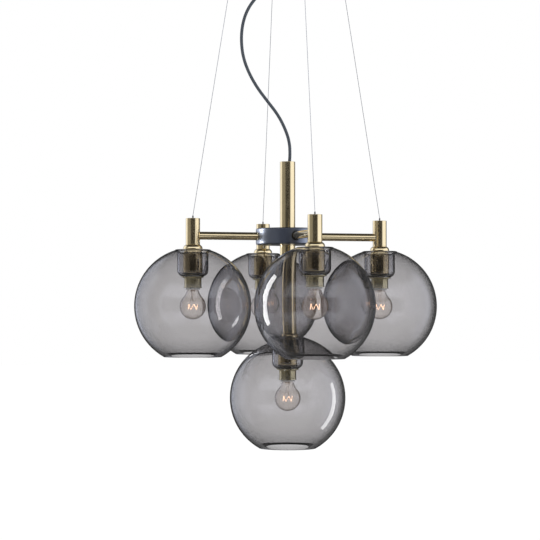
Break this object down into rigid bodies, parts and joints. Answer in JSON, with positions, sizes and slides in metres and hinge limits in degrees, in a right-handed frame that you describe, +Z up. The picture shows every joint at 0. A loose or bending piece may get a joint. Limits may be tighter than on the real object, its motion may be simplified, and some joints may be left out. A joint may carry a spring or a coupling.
{
  "type": "cluster pendant",
  "caption": "Pendant light with a cross of brass arms on a slate hub, clear smoked-glass globes open at the bottom, steel wires and a textile cord.",
  "frame": {"origin": "centre of the canopy's ceiling face; everything hangs below it", "axes": "+Z up, out of the ceiling face; the arms lie along X and Y, and the front arm is on -Y"},
  "size_m": [0.536, 0.536, 0.9072],
  "materials": {
    "satin_brass": "satin, finely brushed",
    "polished_brass": "polished, rolled",
    "slate_paint": "satin paint",
    "zinc_steel": "zinc plated",
    "wire_steel": "bright stranded steel",
    "black_plastic": "moulded",
    "white_plastic": "moulded",
    "grey_textile": "braided textile",
    "clear_gasket": "translucent silicone",
    "smoked_glass": "clear smoked grey",
    "bulb_glass": "clear",
    "nickel_cap": "pressed, bright",
    "hot_filament": "glowing tungsten on a clear foot"
  },
  "bodies": {
    "frame": {"centre_tube": "satin_brass", "tube_bush": "black_plastic", "hub_body": "slate_paint", "hub_cover": "slate_paint", "ceiling_canopy": "slate_paint", "ceiling_bracket": "zinc_steel", "canopy_screws": "zinc_steel", "cord_grip": "black_plastic", "terminal_block": "white_plastic", "mains_cord": "grey_textile", "wire_nipples": "wire_steel", "wire_grippers": "satin_brass", "shade_gaskets": "clear_gasket", "arm_right": "satin_brass", "stem_right": "satin_brass", "steel_wire_right": "wire_steel", "arm_back": "satin_brass", "stem_back": "satin_brass", "steel_wire_back": "wire_steel", "arm_left": "satin_brass", "stem_left": "satin_brass", "steel_wire_left": "wire_steel", "arm_front": "satin_brass", "stem_front": "satin_brass", "steel_wire_front": "wire_steel", "holder_cap_right": "satin_brass", "lampholder_right": "white_plastic", "holder_cap_back": "satin_brass", "lampholder_back": "white_plastic", "holder_cap_left": "satin_brass", "lampholder_left": "white_plastic", "holder_cap_front": "satin_brass", "lampholder_front": "white_plastic", "holder_cap_lower": "satin_brass", "lampholder_lower": "white_plastic"},
    "shade_right": {"glass_shade_right": "smoked_glass"},
    "ring_right": {"shade_ring_right": "polished_brass"},
    "bulb_right": {"bulb_glass_right": "bulb_glass", "bulb_cap_right": "nickel_cap", "filament_right": "hot_filament"},
    "shade_back": {"glass_shade_back": "smoked_glass"},
    "ring_back": {"shade_ring_back": "polished_brass"},
    "bulb_back": {"bulb_glass_back": "bulb_glass", "bulb_cap_back": "nickel_cap", "filament_back": "hot_filament"},
    "shade_left": {"glass_shade_left": "smoked_glass"},
    "ring_left": {"shade_ring_left": "polished_brass"},
    "bulb_left": {"bulb_glass_left": "bulb_glass", "bulb_cap_left": "nickel_cap", "filament_left": "hot_filament"},
    "shade_front": {"glass_shade_front": "smoked_glass"},
    "ring_front": {"shade_ring_front": "polished_brass"},
    "bulb_front": {"bulb_glass_front": "bulb_glass", "bulb_cap_front": "nickel_cap", "filament_front": "hot_filament"},
    "shade_lower": {"glass_shade_lower": "smoked_glass"},
    "ring_lower": {"shade_ring_lower": "polished_brass"},
    "bulb_lower": {"bulb_glass_lower": "bulb_glass", "bulb_cap_lower": "nickel_cap", "filament_lower": "hot_filament"}
  },
  "joints": [
    {"name": "shade_drop_right", "type": "slide", "parent": "frame", "child": "shade_right", "axis": [0, 0, -1], "range_m": [0, 0.006]},
    {"name": "ring_turn_right", "type": "hinge", "parent": "shade_right", "child": "ring_right", "pos_m": [0.168, 0, -0.6223], "axis": [0, 0, -1], "range_deg": [0, 1080]},
    {"name": "bulb_turn_right", "type": "hinge", "parent": "frame", "child": "bulb_right", "pos_m": [0.168, 0, -0.6328], "axis": [0, 0, -1], "range_deg": [0, 1080]},
    {"name": "shade_drop_back", "type": "slide", "parent": "frame", "child": "shade_back", "axis": [0, 0, -1], "range_m": [0, 0.006]},
    {"name": "ring_turn_back", "type": "hinge", "parent": "shade_back", "child": "ring_back", "pos_m": [0, 0.168, -0.6223], "axis": [0, 0, -1], "range_deg": [0, 1080]},
    {"name": "bulb_turn_back", "type": "hinge", "parent": "frame", "child": "bulb_back", "pos_m": [0, 0.168, -0.6328], "axis": [0, 0, -1], "range_deg": [0, 1080]},
    {"name": "shade_drop_left", "type": "slide", "parent": "frame", "child": "shade_left", "axis": [0, 0, -1], "range_m": [0, 0.006]},
    {"name": "ring_turn_left", "type": "hinge", "parent": "shade_left", "child": "ring_left", "pos_m": [-0.168, 0, -0.6223], "axis": [0, 0, -1], "range_deg": [0, 1080]},
    {"name": "bulb_turn_left", "type": "hinge", "parent": "frame", "child": "bulb_left", "pos_m": [-0.168, 0, -0.6328], "axis": [0, 0, -1], "range_deg": [0, 1080]},
    {"name": "shade_drop_front", "type": "slide", "parent": "frame", "child": "shade_front", "axis": [0, 0, -1], "range_m": [0, 0.006]},
    {"name": "ring_turn_front", "type": "hinge", "parent": "shade_front", "child": "ring_front", "pos_m": [0, -0.168, -0.6223], "axis": [0, 0, -1], "range_deg": [0, 1080]},
    {"name": "bulb_turn_front", "type": "hinge", "parent": "frame", "child": "bulb_front", "pos_m": [0, -0.168, -0.6328], "axis": [0, 0, -1], "range_deg": [0, 1080]},
    {"name": "shade_drop_lower", "type": "slide", "parent": "frame", "child": "shade_lower", "axis": [0, 0, -1], "range_m": [0, 0.006]},
    {"name": "ring_turn_lower", "type": "hinge", "parent": "shade_lower", "child": "ring_lower", "pos_m": [0, 0, -0.7808], "axis": [0, 0, -1], "range_deg": [0, 1080]},
    {"name": "bulb_turn_lower", "type": "hinge", "parent": "frame", "child": "bulb_lower", "pos_m": [0, 0, -0.7913], "axis": [0, 0, -1], "range_deg": [0, 1080]}
  ],
  "couplings": [
    {"joint": "ring_turn_right", "follows": "shade_drop_right", "rad_per_m": 3141.6},
    {"joint": "ring_turn_back", "follows": "shade_drop_back", "rad_per_m": 3141.6},
    {"joint": "ring_turn_left", "follows": "shade_drop_left", "rad_per_m": 3141.6},
    {"joint": "ring_turn_front", "follows": "shade_drop_front", "rad_per_m": 3141.6},
    {"joint": "ring_turn_lower", "follows": "shade_drop_lower", "rad_per_m": 3141.6}
  ]
}
